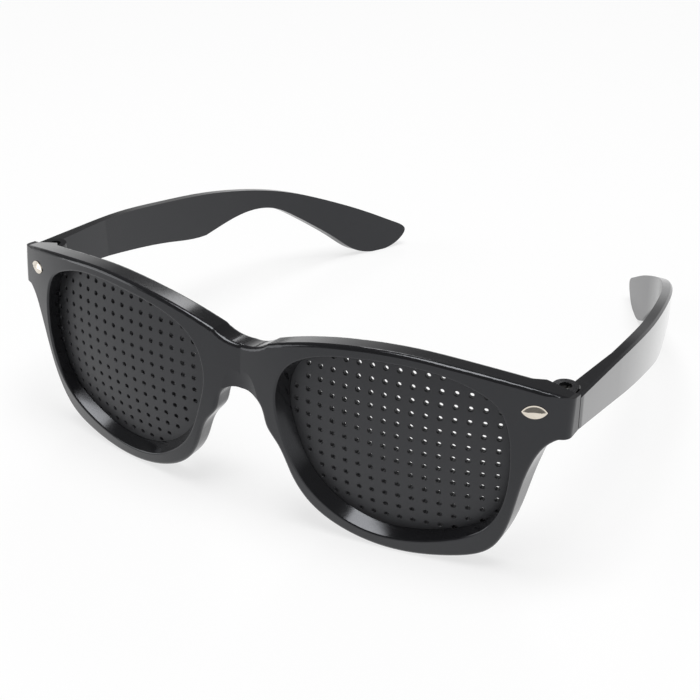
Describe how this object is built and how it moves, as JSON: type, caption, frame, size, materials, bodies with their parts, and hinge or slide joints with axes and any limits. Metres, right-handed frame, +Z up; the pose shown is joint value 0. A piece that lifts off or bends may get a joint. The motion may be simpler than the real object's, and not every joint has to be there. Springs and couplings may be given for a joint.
{
  "type": "pinhole glasses",
  "caption": "Black plastic glasses whose two curved plates are perforated with a grid of funnel-shaped holes; the temples fold on screw hinges.",
  "frame": {"origin": "on the floor, below the middle of the whole: half way across, and half way from the face to the temple tips", "axes": "+X across to the wearer's left, which is the right when looked at from the front, +Y back along the temples, +Z up"},
  "size_m": [0.143, 0.1424, 0.0492],
  "materials": {
    "frame_plastic": "satin black moulded plastic",
    "plate_plastic": "satin black moulded plastic",
    "rivet_metal": "polished pale metal",
    "screw_metal": "dark steel"
  },
  "bodies": {
    "front": {"front_frame": "frame_plastic", "left_pinhole_plate": "plate_plastic", "right_pinhole_plate": "plate_plastic", "left_rivet": "rivet_metal", "right_rivet": "rivet_metal", "left_hinge_screw": "screw_metal", "right_hinge_screw": "screw_metal"},
    "left_arm": {"left_temple": "frame_plastic"},
    "right_arm": {"right_temple": "frame_plastic"}
  },
  "joints": [
    {"name": "left_temple_fold", "type": "hinge", "parent": "front", "child": "left_arm", "pos_m": [-0.06725, -0.05193, 0.0391], "axis": [0, 0, -1], "range_deg": [0, 75]},
    {"name": "right_temple_fold", "type": "hinge", "parent": "front", "child": "right_arm", "pos_m": [0.06725, -0.05193, 0.0391], "axis": [0, 0, 1], "range_deg": [0, 70]}
  ]
}
